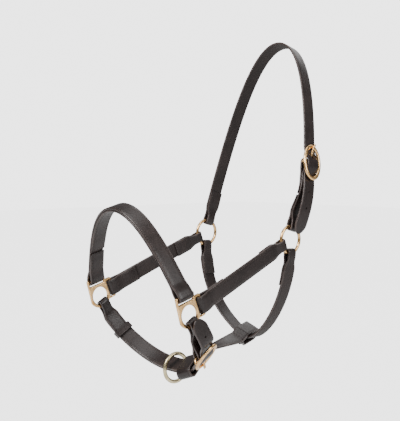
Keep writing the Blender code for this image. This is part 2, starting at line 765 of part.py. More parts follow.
def build():
    leather = finish("leather", LEATHER_BROWN, 0.5)
    edge = finish("lining_leather", EDGE_BROWN, 0.55)
    brass = finish("brass", BRASS, 0.25, 1.0)
    pale_brass = finish("pale_brass", PALE_BRASS, 0.35, 1.0)

    crown(leather)
    noseband(leather, edge)
    chin(leather, edge)
    chin_keeper(leather)
    throat_strap(leather)
    jaw_stay(leather)
    turn_to_side = Matrix.Rotation(pi / 2, 4, "Y")
    for label, side in (("near", 1), ("far", -1)):
        cheek_strap(f"{label}_cheek_strap", side, leather)
        square_dee(f"{label}_square_dee", side, brass)
        centre = Matrix.Translation(RING_LEVEL + ACROSS * side * RING_X)
        torus(f"{label}_ring", centre @ turn_to_side, RING_RADIUS, brass)
    for label, buckle in (("crown", CROWN_BUCKLE), ("chin", CHIN_BUCKLE)):
        buckle_frame(f"{label}_buckle_frame", buckle, brass)
        tongue(f"{label}_buckle_tongue", buckle, brass)
    hang = CHIN_PLANE @ Vector((LEAD_RING_X, CHIN_DROP, 0)) - Vector((0, 0, LEAD_RING_DROP))
    torus("lead_ring", Matrix.Translation(hang) @ turn_to_side, LEAD_RING_RADIUS, pale_brass)


build()
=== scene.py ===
"""Looks of the leather headcollar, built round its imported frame.

Metres, +Z up, -Y to the horse's nose and +X to its near side. Each strap is a line in
its own plane, and a rounded leather section is swept along it. Straps ride on the
frame's bodies and stand for its plain solids.
"""
from math import atan2, ceil, cos, degrees, pi, radians, sin

import bpy
from mathutils import Matrix, Vector


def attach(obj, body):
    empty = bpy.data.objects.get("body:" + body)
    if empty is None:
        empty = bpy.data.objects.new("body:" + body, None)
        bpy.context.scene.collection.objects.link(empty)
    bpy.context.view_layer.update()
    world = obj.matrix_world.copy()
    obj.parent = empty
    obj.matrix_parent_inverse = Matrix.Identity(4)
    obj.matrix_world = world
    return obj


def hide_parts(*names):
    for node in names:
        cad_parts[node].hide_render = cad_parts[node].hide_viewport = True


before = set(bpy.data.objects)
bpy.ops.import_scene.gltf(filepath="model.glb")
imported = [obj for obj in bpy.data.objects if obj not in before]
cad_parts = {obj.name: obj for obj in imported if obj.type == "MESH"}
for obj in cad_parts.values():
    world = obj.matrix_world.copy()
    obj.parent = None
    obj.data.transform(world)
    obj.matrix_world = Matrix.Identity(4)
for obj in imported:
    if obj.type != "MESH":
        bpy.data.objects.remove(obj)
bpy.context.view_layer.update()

# Leather
STRAP_WIDTH = 0.020
EYE_WIDTH = 0.014          # a strap is skived to this width where it goes round a ring
LEATHER = 0.0026
GAP = 0.0003
SWELL = 0.00018            # a finished strap is this much thicker than the frame's solid
SPREAD = 0.0014            # and this much wider
TURN_BACK = 0.045
LAYER = (LEATHER + GAP) / 2
EYE_REACH = 0.009          # it is narrow this far from a ring's bar
EYE_BLEND = 0.014          # and widens over this length
TIP_LENGTH = 0.012
TIP_END = 0.10             # share of the width left at a tip's end
TIP_STRAIGHT = 0.35        # how much of a tip's outline is straight, the rest is round
SKIVED_SHARE = 0.26        # share of the thickness left at a skived end
SKIVE_LENGTH = 0.016
EDGE_ROUND = 0.0011
CREASE = (0.0013, 0.0016, 0.0019)  # a crease's near side, bottom and far side
CREASE_DEPTH = 0.00012
CROWNING = (0.00005, 0.00008)      # how far a face swells half-way in and in the middle
LINING_CLEAR = 0.004       # a lining starts this far beyond a turned-back end
STATION = 0.003            # length of a cheek strap between two points of its line
SMOOTH_ANGLE = radians(50)

# Stitching
STITCH_PITCH = 0.0036
STITCH_LENGTH = 0.0027
STITCH_HALF = 0.00033
STITCH_INSET = 0.0027      # from the strap's edge to the row
STITCH_BULGE = ((-1.0, 0.0), (-0.7, 0.75), (0.0, 1.0), (0.7, 0.75), (1.0, 0.0))
STITCH_SIDES = 6
STITCH_THINNEST = 0.12     # share of the radius left at a stitch's ends
STITCH_FLATNESS = 1.25
STITCH_SLANT = 0.00022
STITCH_SUNK = 0.00012      # a stitch's middle lies this deep, and its ends lie deeper
STITCH_DIVE = 0.00020
SEAM_CLEAR = 0.016         # a seam starts this far from a fold
SEAM_END = 0.003           # and ends this far from a strap's end
JAW_SEAM_CLEAR = 0.036

# The horse's head, as the straps lie on it
CROWN_RISE = 0.280
CROWN_LEAN = radians(14.8)
CHEEK_LENGTH = 0.200
CHEEK_SLOPE = radians(21.3)
RING_X = 0.082
DEE_X = 0.090
NOSE_RISE = 0.124
NOSE_CANT = radians(6)
CHIN_DROP = 0.0975
CHIN_LEAN = radians(30)
THROAT_DROP = 0.137
THROAT_LEAN = radians(2)
THROAT_X = 0.004
THROAT_TILT = radians(27)
JAW_STAY_X = 0.042

# Fittings
WIRE = 0.0020
RING_RADIUS = 0.018
RING_WIRE = 0.0021
LEAD_RING_WIRE = 0.0025
LEAD_RING_X = 0.0103
LEAD_RING_DROP = 0.0034
DEE_THICKNESS = 0.0036
DEE_BAR = 0.0040
DEE_ROUNDING = 0.0013
DEE_OVAL_DROP = 0.003
DEE_OVAL = (0.0115, 0.0120)
NOSE_SLOT = (0.0135, 0.0185)
CHEEK_SLOT = (0.0155, 0.0198)
SLOT_HALF = 0.0112
SLOT_CORNER = 0.0012
DEE_WALL = 0.0030          # metal beside a slot
DEE_CORNER = 0.0020
DEE_ARC = (195, 318)       # where the outline follows the oval, in degrees
DEE_SHOULDER = (0.0012, 0.0005)    # the notch between the two slots, beyond the walls
ROUND_STEPS = 96
BUCKLE_LENGTH = 0.0220
BUCKLE_HALF_WIDTH = 0.0150
BUCKLE_RISE = 0.0065
RIM_HALF_WIDTH = 0.0025    # the rim is wider than it is thick
RIM_SIDES = 20
ROCK_CLEARANCE = 0.0020
BAR_WIRE = 0.0018
BAR_CLEARANCE = 0.0008     # the bar rises to the rim this far beyond the strap's edge
BAR_BENDS = 8
TONGUE_WIDTH = 0.0030
TONGUE_THICKNESS = 0.0026
TONGUE_EYE = 0.0037
TONGUE_OVERHANG = 0.0026
TONGUE_BORE = 0.0027
TONGUE_LIFT = 0.56         # middle of the tongue above the rim, in thicknesses
TONGUE_OPENING = 24        # degrees of the eye, either side, that run into the shank
TONGUE_ROUNDING = 0.0005
HOLE_WIDTH = 0.0046
HOLE_START = 0.0033
HOLE_END = 0.0150
TAIL_HOLE = 0.0028
CHAPE_SLOT = (0.0085, 0.0048)      # half length and width
CUTTER_DEPTH = 0.016

# How a strap lies round a bar, and over and under a buckle
FOLD_RADIUS = WIRE + 0.0006 + LEATHER / 2
FOLD_STRAIGHT = 0.0045
FOLD_LENGTH = 0.0135
SLANTING = LEATHER / 0.89 + GAP    # room for a layer that lies at a slant, and a gap
BILLET_LOW = BUCKLE_RISE - WIRE - ROCK_CLEARANCE - LEATHER / 2
BILLET_HIGH = FOLD_RADIUS + SLANTING + 0.0005
CHAPE_LOW = BILLET_LOW - 1.5 * SLANTING
JAW_LOOPS = (0.0061, 0.0085)
JAW_REACH = 0.0120         # each loop's round end lies this far beyond the strap in it
JAW_CLOSING = 0.013        # length over which a loop's two layers come together
JAW_SAMPLE = 0.010         # the chin strap's run is taken this far to either side
JAW_PULLS = (1.6, 2.6)     # how far the line runs straight on from each loop, in reaches
JAW_TWIST = 0.032
KEEPER_DISTANCE = 0.047
KEEPER_LENGTH = 0.009
KEEPER_LEATHER = 0.0018
KEEPER_CLEARANCE = 0.0005
KEEPER_CORNERS = (0.0022, 0.0008)  # outside and inside
KEEPER_ROUNDING = 0.0006

# View
VIEW_AZIMUTH = radians(48)
VIEW_ELEVATION = radians(3)
VIEW_TARGET = Vector((0.0451, -0.1987, -0.2291))
VIEW_DISTANCE = 0.912
VIEW_LENS = 62.9
FLOOR_LEVEL = -0.62
FLOOR_SIZE = 14
LIGHTS = (                 # name, azimuth and elevation in degrees, distance, size, power
    ("key", 0, 40, 1.6, 0.8, 36), ("fill", 100, 22, 1.9, 1.0, 22),
    ("top", 48, 84, 1.7, 1.2, 16), ("rim", 205, 40, 1.8, 1.2, 9))
WORLD_LIGHT = 0.28         # what the surroundings give the headcollar
WORLD_SEEN = 3.4           # how bright the backdrop looks
FLOOR_GLOW = 0.93          # how much of that the floor shows


# ---------------------------------------------------------------- planes

def axes(origin, x, y):
    """A local frame with its x and y along the given unit vectors."""
    z = x.cross(y).normalized()
    return Matrix.Translation(origin) @ Matrix((x, y, z)).transposed().to_4x4()


ACROSS = Vector((1, 0, 0))
CROWN_UP = Vector((0, sin(CROWN_LEAN), cos(CROWN_LEAN)))
CHEEK = Vector((0, cos(CHEEK_SLOPE), sin(CHEEK_SLOPE)))
BROW = Vector((0, -sin(CHEEK_SLOPE), cos(CHEEK_SLOPE)))
NOSE_UP = CHEEK * sin(NOSE_CANT) + BROW * cos(NOSE_CANT)
CHIN_DOWN = Vector((0, sin(CHIN_LEAN), -cos(CHIN_LEAN)))
THROAT_DOWN = Vector((0, -sin(THROAT_LEAN), -cos(THROAT_LEAN)))
RING_LEVEL = -CROWN_RISE * CROWN_UP
DEE_LEVEL = RING_LEVEL - CHEEK_LENGTH * CHEEK
CROWN_PLANE = axes(RING_LEVEL, ACROSS, CROWN_UP)
THROAT_PLANE = axes(RING_LEVEL, ACROSS, THROAT_DOWN)
NOSE_PLANE = axes(DEE_LEVEL, ACROSS, NOSE_UP)
CHIN_PLANE = axes(DEE_LEVEL, ACROSS, CHIN_DOWN)


# ---------------------------------------------------------------- lines in a plane

def bezier(start, start_pull, end_pull, end, count=60):
    """Points on a cubic curve, without its first one."""
    a, b, c, d = (Vector(point) for point in (start, start_pull, end_pull, end))
    points = []
    for i in range(1, count + 1):
        t = i / count
        s = 1 - t
        points.append(a * s**3 + b * 3 * s * s * t + c * 3 * s * t * t + d * t**3)
    return points


def lengths(line):
    """Distance along the line of each of its points."""
    run = [0.0]
    for a, b in zip(line, line[1:]):
        run.append(run[-1] + (b - a).length)
    return run


def left_of(line, i):
    """Unit vector to the left of the line at point i."""
    ahead = line[min(i + 1, len(line) - 1)] - line[max(i - 1, 0)]
    return Vector((-ahead.y, ahead.x)).normalized()


def ease(t):
    """A smooth step from 0 to 1 while t does the same."""
    t = min(max(t, 0.0), 1.0)
    return t * t * (3 - 2 * t)


def spread(distance, apart=FOLD_RADIUS):
    """Half the space between a folded strap's two layers, at this distance from the fold."""
    return apart + (LAYER - apart) * ease((distance - FOLD_STRAIGHT) / FOLD_LENGTH)


def point_at(line, distance):
    """The point at this distance along the line."""
    run = lengths(line)
    i = next(k for k in range(1, len(run)) if run[k] >= distance or k == len(run) - 1)
    return line[i - 1].lerp(line[i], (distance - run[i - 1]) / (run[i] - run[i - 1]))


def at_x(line, x):
    """The point of a line that runs towards +x, at this x."""
    i = next(k for k, point in enumerate(line) if point.x > x)
    return line[i - 1].lerp(line[i], (x - line[i - 1].x) / (line[i].x - line[i - 1].x))


def part_of(line, low, high):
    """The line between two distances along it."""
    run = lengths(line)
    middle = [point for point, at in zip(line, run) if low + 0.0005 < at < high - 0.0005]
    return [point_at(line, low)] + middle + [point_at(line, high)]


def both_ends(at, whole):
    """Half space between the layers of a strap that is folded at both ends."""
    return spread(min(at, whole - at))


def first_end(at, _whole):
    """Half space between the layers of a strap that is folded at its start only."""
    return spread(at)


def layer(line, side, low=0.0, high=None, spacing=both_ends):
    """One layer of a doubled strap: the line moved sideways (+1 left, -1 right)."""
    whole = lengths(line)[-1]
    piece = part_of(line, low, whole if high is None else high)
    points = []
    for i, (point, at) in enumerate(zip(piece, lengths(piece))):
        points.append(point + left_of(piece, i) * side * spacing(low + at, whole))
    return points


def fold(centre, away, side, radius=FOLD_RADIUS, steps=16):
    """Points of a turn round a bar, from one layer to the other."""
    away = Vector(away).normalized()
    left = Vector((-away.y, away.x))
    points = []
    for i in range(steps + 1):
        angle = pi * i / steps
        points.append(centre + radius * (left * side * cos(angle) - away * sin(angle)))
    return points


def distinct(points, closest=0.0003):
    """The line without points that nearly coincide."""
    kept = [points[0]]
    for point in points[1:]:
        if (point - kept[-1]).length > closest:
            kept.append(point)
    return kept


def doubled_ends(line, main_side, turn_back=TURN_BACK, spacing=both_ends,
                 radii=(FOLD_RADIUS, FOLD_RADIUS)):
    """A strap folded at both ends of the line, with its turned-back ends on one side."""
    run = lengths(line)[-1]
    start, end = line[1] - line[0], line[-2] - line[-1]
    path = layer(line, -main_side, high=turn_back, spacing=spacing)[::-1]
    path += fold(line[0], start, -main_side, radii[0])
    path += layer(line, main_side, spacing=spacing)
    path += fold(line[-1], end, -main_side, radii[1])
    path += layer(line, -main_side, low=run - turn_back, spacing=spacing)[::-1]
    return path


# ---------------------------------------------------------------- materials

def set_inputs(node, **values):
    """Sets a node's inputs by name, with _ for a space."""
    for key, value in values.items():
        node.inputs[key.replace("_", " ")].default_value = value


def new_material(name, colour, roughness, metallic=0.0, **more):
    """A Principled material. Keywords set more of its shader's inputs."""
    material = bpy.data.materials.new(name)
    material.use_nodes = True
    set_inputs(material.node_tree.nodes["Principled BSDF"], Base_Color=(*colour, 1.0),
               Roughness=roughness, Metallic=metallic, **more)
    return material


class Nodes:
    """Short ways to add and join shader nodes of one material."""

    def __init__(self, material):
        self.tree = material.node_tree
        self.shader = self.tree.nodes["Principled BSDF"]
        self.place = self.new("TexCoord").outputs["Object"]

    def new(self, kind, **values):
        node = self.tree.nodes.new("ShaderNode" + kind)
        set_inputs(node, **values)
        return node

    def link(self, source, target):
        self.tree.links.new(source, target)

    def feed(self, **sources):
        """Links outputs to the shader's inputs by name, with _ for a space."""
        for key, source in sources.items():
            self.link(source, self.shader.inputs[key.replace("_", " ")])

    def noise(self, scale, detail=4.0, roughness=0.55, distortion=0.0):
        node = self.new("TexNoise", Scale=scale, Detail=detail, Roughness=roughness,
                        Distortion=distortion)
        self.link(self.place, node.inputs["Vector"])
        return node.outputs["Fac"]

    def cells(self, scale):
        node = self.new("TexVoronoi", Scale=scale)
        node.feature = "DISTANCE_TO_EDGE"
        self.link(self.place, node.inputs["Vector"])
        return node.outputs["Distance"]

    def remap(self, value, low, high, to_low, to_high):
        node = self.new("MapRange", From_Min=low, From_Max=high, To_Min=to_low, To_Max=to_high)
        self.link(value, node.inputs["Value"])
        return node.outputs["Result"]

    def ramp(self, value, stops):
        """Colours at positions, from (position, colour) pairs."""
        node = self.new("ValToRGB")
        for _ in stops[2:]:
            node.color_ramp.elements.new(0.5)
        for element, (position, colour) in zip(node.color_ramp.elements, stops):
            element.position = position
            element.color = (*colour, 1.0)
        self.link(value, node.inputs["Fac"])
        return node.outputs["Color"]

    def mix(self, share, first, second, blend="MIX"):
        node = self.new("Mix")
        node.data_type = "RGBA"
        node.blend_type = blend
        sockets = {socket.identifier: socket for socket in node.inputs}
        if isinstance(share, float):
            sockets["Factor_Float"].default_value = share
        else:
            self.link(share, sockets["Factor_Float"])
        self.link(first, sockets["A_Color"])
        self.link(second, sockets["B_Color"])
        return next(s for s in node.outputs if s.identifier == "Result_Color")

    def bump(self, height, distance, strength, below=None):
        node = self.new("Bump", Distance=distance, Strength=strength)
        self.link(height, node.inputs["Height"])
        if below is not None:
            self.link(below, node.inputs["Normal"])
        return node.outputs["Normal"]


def leather_material(name, dark, middle, light, roughness, grain=1.0, coat=0.12):
    """Bridle leather: mottled dye, fine pores and grain, faint scuffs and waxed gloss."""
    material = new_material(name, middle, roughness, Coat_Weight=coat, Coat_Roughness=0.32,
                            Specular_IOR_Level=0.36)
    nodes = Nodes(material)
    mottle = nodes.noise(38.0, 5.0, 0.6, 0.4)
    dye = nodes.ramp(mottle, [(0.28, dark), (0.52, middle), (0.78, light)])
    speckle = nodes.noise(900.0, 2.0, 0.5)
    pores = nodes.ramp(speckle, [(0.35, (0.80, 0.80, 0.80)), (0.62, (1.0, 1.0, 1.0))])
    coloured = nodes.mix(0.75, dye, pores, "MULTIPLY")
    scuff = nodes.noise(120.0, 8.0, 0.75, 1.6)
    scuffed = nodes.remap(scuff, 0.60, 0.78, 0.0, 0.32)
    rubbed = nodes.ramp(scuff, [(0.0, light), (1.0, tuple(1.5 * c for c in light))])
    nodes.feed(Base_Color=nodes.mix(scuffed, coloured, rubbed),
               Roughness=nodes.remap(mottle, 0.3, 0.7, roughness - 0.07, roughness + 0.09))
    creases = nodes.bump(nodes.noise(240.0, 3.0, 0.6, 0.8), 0.00020, 0.22 * grain)
    cells = nodes.bump(nodes.cells(1150.0), 0.00010, 0.26 * grain, creases)
    nodes.feed(Normal=nodes.bump(nodes.noise(2600.0, 2.0), 0.00004, 0.2 * grain, cells))
    return material


def brass_material(name, deep, bright, roughness):
    """Cast and polished brass with a little tarnish and fine handling marks."""
    material = new_material(name, bright, roughness, 1.0)
    nodes = Nodes(material)
    tarnish = nodes.noise(95.0, 5.0, 0.6, 0.5)
    nodes.feed(Base_Color=nodes.ramp(tarnish, [(0.30, deep), (0.58, bright)]))
    marks = nodes.noise(620.0, 3.0, 0.6, 0.3)
    nodes.feed(Roughness=nodes.remap(marks, 0.3, 0.7, roughness - 0.05, roughness + 0.10))
    wavy = nodes.bump(nodes.noise(150.0, 2.0), 0.00025, 0.16)
    nodes.feed(Normal=nodes.bump(marks, 0.00005, 0.25, wavy))
    return material


def thread_material():
    """Waxed thread, twisted finely enough to show only as a ripple."""
    material = new_material("waxed_thread", (0.040, 0.027, 0.021), 0.5)
    nodes = Nodes(material)
    twist = nodes.noise(1500.0, 2.0)
    shades = [(0.35, (0.026, 0.017, 0.013)), (0.65, (0.062, 0.044, 0.034))]
    nodes.feed(Base_Color=nodes.ramp(twist, shades), Normal=nodes.bump(twist, 0.0001, 0.5))
    return material


def floor_material():
    """Matt white, seen as pale as the backdrop behind it."""
    material = new_material("studio_floor", (0.92, 0.92, 0.92), 0.9)
    nodes = Nodes(material)
    glow = nodes.new("Emission", Strength=WORLD_SEEN)
    seen = nodes.new("LightPath")
    share = nodes.remap(seen.outputs["Is Camera Ray"], 0.0, 1.0, 0.0, FLOOR_GLOW)
    blend = nodes.new("MixShader")
    nodes.link(share, blend.inputs[0])
    nodes.link(nodes.shader.outputs["BSDF"], blend.inputs[1])
    nodes.link(glow.outputs["Emission"], blend.inputs[2])
    nodes.link(blend.outputs["Shader"], nodes.tree.nodes["Material Output"].inputs["Surface"])
    shades = [(0.0, (0.91, 0.91, 0.91)), (1.0, (0.93, 0.93, 0.93))]
    nodes.feed(Base_Color=nodes.ramp(nodes.noise(2.0, 2.0), shades))
    return material


GRAIN = leather_material("leather_grain", (0.0085, 0.0045, 0.0038), (0.0160, 0.0092, 0.0082),
                         (0.0290, 0.0180, 0.0160), 0.40)
FLESH = leather_material("leather_inside", (0.0115, 0.0066, 0.0058), (0.0190, 0.0120, 0.0108),
                         (0.0310, 0.0205, 0.0185), 0.56, 1.5, 0.0)
# The edge colours are much lighter than the grain's: a painted highlight, so that the strap edges
# show as light lines.
EDGE_WITH_PAINTED_HIGHLIGHT = leather_material("leather_edge_painted_highlight", (0.0200, 0.0125, 0.0108), (0.0440, 0.0300, 0.0265),
                        (0.0900, 0.0660, 0.0590), 0.34, 0.5, 0.25)
THREAD = thread_material()
BRASS = brass_material("polished_brass", (0.60, 0.34, 0.13), (0.90, 0.58, 0.27), 0.20)
PALE_BRASS = brass_material("dull_brass", (0.42, 0.35, 0.20), (0.66, 0.57, 0.36), 0.30)


# ---------------------------------------------------------------- objects and meshes

def placed(name, data, matrix=Matrix()):
    """A new object in the scene."""
    obj = bpy.data.objects.new(name, data)
    obj.matrix_world = matrix
    bpy.context.scene.collection.objects.link(obj)
    return obj


def smooth_mesh(name, points, faces, *materials):
    """A mesh of these points and faces, shaded smooth."""
    mesh = bpy.data.meshes.new(name)
    mesh.from_pydata(points, [], faces)
    for material in materials:
        mesh.materials.append(material)
    mesh.shade_smooth()
    return mesh


def shown_mesh(obj):
    """The mesh that a curve, or an object with modifiers, shows."""
    bpy.context.view_layer.update()
    evaluated = obj.evaluated_get(bpy.context.evaluated_depsgraph_get())
    return bpy.data.meshes.new_from_object(evaluated)


# ---------------------------------------------------------------- leather sections

def section(width, thickness):
    """Outline of a strap across its width: (across, through, kind) round the section.

    Both faces have a creased line near each edge, and the edges are round."""
    half, deep = width / 2, thickness / 2
    corner = min(deep * 0.92, EDGE_ROUND)
    face = [(half - corner, 0.0), (half - CREASE[0], 0.0), (half - CREASE[1], CREASE_DEPTH),
            (half - CREASE[2], 0.0), (half * 0.5, -CROWNING[0]), (0.0, -CROWNING[1])]
    face += [(-across, sunk) for across, sunk in face[-2::-1]]
    steps = 4
    turn = [(half - corner + corner * sin(pi / 2 * i / steps),
             deep - corner + corner * cos(pi / 2 * i / steps)) for i in range(1, steps)]
    outline = [(across, deep - sunk, "left") for across, sunk in face[::-1]]
    outline += [(across, through, "edge") for across, through in turn]
    outline += [(half, deep - corner, "edge"), (half, corner - deep, "edge")]
    outline += [(across, -through, "edge") for across, through in turn[::-1]]
    outline += [(across, sunk - deep, "right") for across, sunk in face]
    outline += [(-across, -through, "edge") for across, through in turn]
    outline += [(-half, corner - deep, "edge"), (-half, deep - corner, "edge")]
    outline += [(-across, through, "edge") for across, through in turn[::-1]]
    return outline


def straight_on(point):
    """The warp of a strap that isn't turned about its own length."""
    return point


class Strap:
    """A leather strap swept along a line in a plane, with its stitching."""

    def __init__(self, name, line, plane, eyes=(), tip=0.0, skived=("start", "end"),
                 grain_side="left", warp=straight_on):
        self.name = name
        self.line = distinct(line)
        self.run = lengths(self.line)
        self.plane = plane
        self.eyes = [Vector(eye) for eye in eyes]
        self.tip = tip
        self.skived = skived
        self.grain_side = grain_side
        self.warp = warp
        self.seams = []

    def width_at(self, i):
        """Full width at point i: narrow at the eyes, and pointed at a tip."""
        width = STRAP_WIDTH + SPREAD
        if self.eyes:
            near = min((self.line[i] - eye).length for eye in self.eyes)
            width = EYE_WIDTH + (width - EYE_WIDTH) * ease((near - EYE_REACH) / EYE_BLEND)
        left = self.run[-1] - self.run[i]
        if self.tip and left < self.tip:
            share = left / self.tip
            curved = (1 - (1 - share) ** 2) ** 0.5
            outline = TIP_STRAIGHT * share + (1 - TIP_STRAIGHT) * curved
            width *= TIP_END + (1 - TIP_END) * outline
        return width

    def thickness_at(self, i):
        """Full thickness at point i, thinned towards a skived end."""
        thickness = LEATHER + SWELL
        at, left = self.run[i], self.run[-1] - self.run[i]
        for end, distance in (("start", at), ("end", left)):
            if end in self.skived:
                thickness *= SKIVED_SHARE + (1 - SKIVED_SHARE) * ease(distance / SKIVE_LENGTH)
        return thickness

    def build(self):
        """The strap's mesh object, not yet riding on anything."""
        points, faces, kinds = [], [], []
        labels = [kind for _, _, kind in section(STRAP_WIDTH, LEATHER)]
        count = len(labels)
        for i, middle in enumerate(self.line):
            out = left_of(self.line, i)
            for across, through, _ in section(self.width_at(i), self.thickness_at(i)):
                spot = middle + out * through
                points.append(self.plane @ self.warp(Vector((spot.x, spot.y, across))))
        for i in range(len(self.line) - 1):
            for k in range(count):
                after = (k + 1) % count
                low, high = i * count, (i + 1) * count
                faces.append((low + k, low + after, high + after, high + k))
                same = labels[k] == labels[after]
                kinds.append(labels[k] if same else "edge")
        last = (len(self.line) - 1) * count
        faces.append(tuple(range(count))[::-1])
        faces.append(tuple(range(last, last + count)))
        kinds += ["edge", "edge"]
        mesh = smooth_mesh(self.name, points, faces, GRAIN, FLESH, EDGE_WITH_PAINTED_HIGHLIGHT)
        slots = {"edge": 2, self.grain_side: 0}
        mesh.polygons.foreach_set("material_index", [slots.get(kind, 1) for kind in kinds])
        mesh.update()
        return placed(self.name, mesh)

    def seam(self, start, end, side):
        """Marks a stretch to stitch along both edges, on its left (1) or right (-1) face."""
        self.seams.append((start, end, side))

    def stitching(self):
        """One mesh of all the strap's stitches."""
        points, faces = [], []
        for start, end, side in self.seams:
            for number in range(int((end - start) / STITCH_PITCH)):
                at = start + (number + 0.5) * STITCH_PITCH
                self.add_stitches(points, faces, at, side)
        name = self.name + "_stitching"
        return placed(name, smooth_mesh(name, points, faces, THREAD))

    def add_stitches(self, points, faces, at, side):
        """Adds one stitch near each edge, at this distance along the strap."""
        last = len(self.run) - 1
        i = next(k for k in range(1, last + 1) if self.run[k] >= at or k == last)
        a, b = self.line[i - 1], self.line[i]
        ahead = (b - a).normalized()
        out = Vector((-ahead.y, ahead.x)) * side
        middle = a + ahead * (at - self.run[i - 1])
        height = self.thickness_at(i) / 2
        sides = range(STITCH_SIDES)
        for edge in (-1, 1):
            row = edge * (self.width_at(i) / 2 - STITCH_INSET)
            base = len(points)
            for step, bulge in STITCH_BULGE:
                radius = STITCH_HALF * max(bulge, STITCH_THINNEST)
                sunk = STITCH_SUNK + STITCH_DIVE * (1 - bulge)
                for k in sides:
                    angle = 2 * pi * k / STITCH_SIDES
                    lift = height + radius * sin(angle) - sunk
                    spot = middle + ahead * step * STITCH_LENGTH / 2 + out * lift
                    across = row + radius * STITCH_FLATNESS * cos(angle)
                    across += edge * step * STITCH_SLANT
                    points.append(self.plane @ self.warp(Vector((spot.x, spot.y, across))))
            for number in range(len(STITCH_BULGE) - 1):
                low = base + number * STITCH_SIDES
                high = low + STITCH_SIDES
                for k in sides:
                    after = (k + 1) % STITCH_SIDES
                    faces.append((low + k, low + after, high + after, high + k))
            end = base + (len(STITCH_BULGE) - 1) * STITCH_SIDES
            faces.append(tuple(base + k for k in sides)[::-1])
            faces.append(tuple(end + k for k in sides))


def add(obj, body, slot, *nodes):
    """The piece rides on a body and stands for CAD nodes; its slot is not used."""
    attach(obj, body)
    if nodes:
        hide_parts(*nodes)
    return obj


def add_strap(strap, body, slot, node):
    """The strap and its stitching, in place of a CAD node."""
    leather = add(strap.build(), body, slot, node)
    if strap.seams:
        add(strap.stitching(), body, slot)
    return leather


# ---------------------------------------------------------------- metal shapes

def arc(centre, radius, start, end, steps):
    """Points on a circle or, where radius is a pair, on an ellipse. Angles in degrees."""
    rx, ry = radius if isinstance(radius, tuple) else (radius, radius)
    points = []
    for i in range(steps + 1):
        angle = radians(start + (end - start) * i / steps)
        points.append((centre[0] + rx * cos(angle), centre[1] + ry * sin(angle)))
    return points


def rounded_box(low, high, radius, steps=5):
    """Outline of a rectangle with round corners."""
    (x0, y0), (x1, y1) = low, high
    corners = ((x1 - radius, y1 - radius), (x0 + radius, y1 - radius),
               (x0 + radius, y0 + radius), (x1 - radius, y0 + radius))
    points = []
    for i, corner in enumerate(corners):
        points += arc(corner, radius, 90 * i, 90 * (i + 1), steps)
    return points


def turned(points, angle):
    """The points turned about the origin, anticlockwise."""
    c, s = cos(angle), sin(angle)
    return [(c * x - s * y, s * x + c * y) for x, y in points]


def curve_solid(name, lines, closed, matrix, material, **settings):
    """A mesh object in the shape of a curve along the lines, with these settings."""
    curve = bpy.data.curves.new(name, "CURVE")
    for key, value in settings.items():
        setattr(curve, key, value)
    for line in lines:
        spline = curve.splines.new("POLY")
        spline.points.add(len(line) - 1)
        for knot, point in zip(spline.points, line):
            knot.co = (*point, 1)
        spline.use_cyclic_u = closed
    curve.materials.append(material)
    drawn = placed(name, curve, matrix)
    mesh = shown_mesh(drawn)
    matrix = drawn.matrix_world.copy()
    bpy.data.objects.remove(drawn, do_unlink=True)
    mesh.set_sharp_from_angle(angle=SMOOTH_ANGLE)
    return placed(name, mesh, matrix)


def plate(name, outlines, thickness, matrix, material, rounding):
    """A flat piece between closed outlines in the frame's x-y plane; later ones are holes."""
    lines = [[(x, y, 0) for x, y in outline] for outline in outlines]
    return curve_solid(name, lines, True, matrix, material, dimensions="2D", fill_mode="BOTH",
                       extrude=thickness / 2 - rounding, bevel_depth=rounding,
                       bevel_resolution=4, offset=-rounding)


def wire(name, points, closed, radius, matrix, material):
    """A round bar along the points."""
    bar = curve_solid(name, [points], closed, matrix, material, dimensions="3D",
                      bevel_depth=radius, bevel_resolution=6, use_fill_caps=True)
    bar.data.shade_smooth()
    return bar


def ring(name, matrix, radius, thickness, material):
    """A ring of round wire in the matrix's x-y plane. The thickness is the wire's radius."""
    angles = [2 * pi * i / ROUND_STEPS for i in range(ROUND_STEPS)]
    circle = [(radius * cos(angle), radius * sin(angle), 0) for angle in angles]
    return wire(name, circle, True, thickness, matrix, material)


def dee_plane(side):
    """x along the cheek strap, y towards the brow."""
    return axes(DEE_LEVEL + ACROSS * side * DEE_X, CHEEK, BROW)


def square_dee(name, side):
    """A cast plate with a slot for the noseband, one for the cheek and an oval."""
    middle = (DEE_OVAL_DROP * CHIN_DOWN.dot(CHEEK), DEE_OVAL_DROP * CHIN_DOWN.dot(BROW))
    reach = SLOT_HALF + DEE_WALL
    nose_top = NOSE_SLOT[1] + DEE_BAR
    cheek_end = CHEEK_SLOT[1] + DEE_BAR
    corner = DEE_CORNER
    outline = arc(middle, DEE_OVAL[1] + DEE_BAR, *DEE_ARC, 40)
    outline += arc((cheek_end - corner, -reach + corner), corner, -90, 0, 6)
    outline += arc((cheek_end - corner, reach - corner), corner, 0, 90, 6)
    outline += [(reach + DEE_SHOULDER[0], reach + DEE_SHOULDER[1])]
    nose_end = arc((reach - corner, nose_top - corner), corner, 0, 90, 6)
    nose_end += arc((-reach + corner, nose_top - corner), corner, 90, 180, 6)
    outline += turned(nose_end, -NOSE_CANT)
    oval = arc(middle, DEE_OVAL, 0, 355, 71)
    nose_slot = rounded_box((-SLOT_HALF, NOSE_SLOT[0]), (SLOT_HALF, NOSE_SLOT[1]), SLOT_CORNER)
    nose_slot = turned(nose_slot, -NOSE_CANT)
    cheek_slot = rounded_box((CHEEK_SLOT[0], -SLOT_HALF), (CHEEK_SLOT[1], SLOT_HALF), SLOT_CORNER)
    return plate(name, [outline, oval, nose_slot, cheek_slot], DEE_THICKNESS,
                 dee_plane(side), BRASS, DEE_ROUNDING)


# ---------------------------------------------------------------- buckles

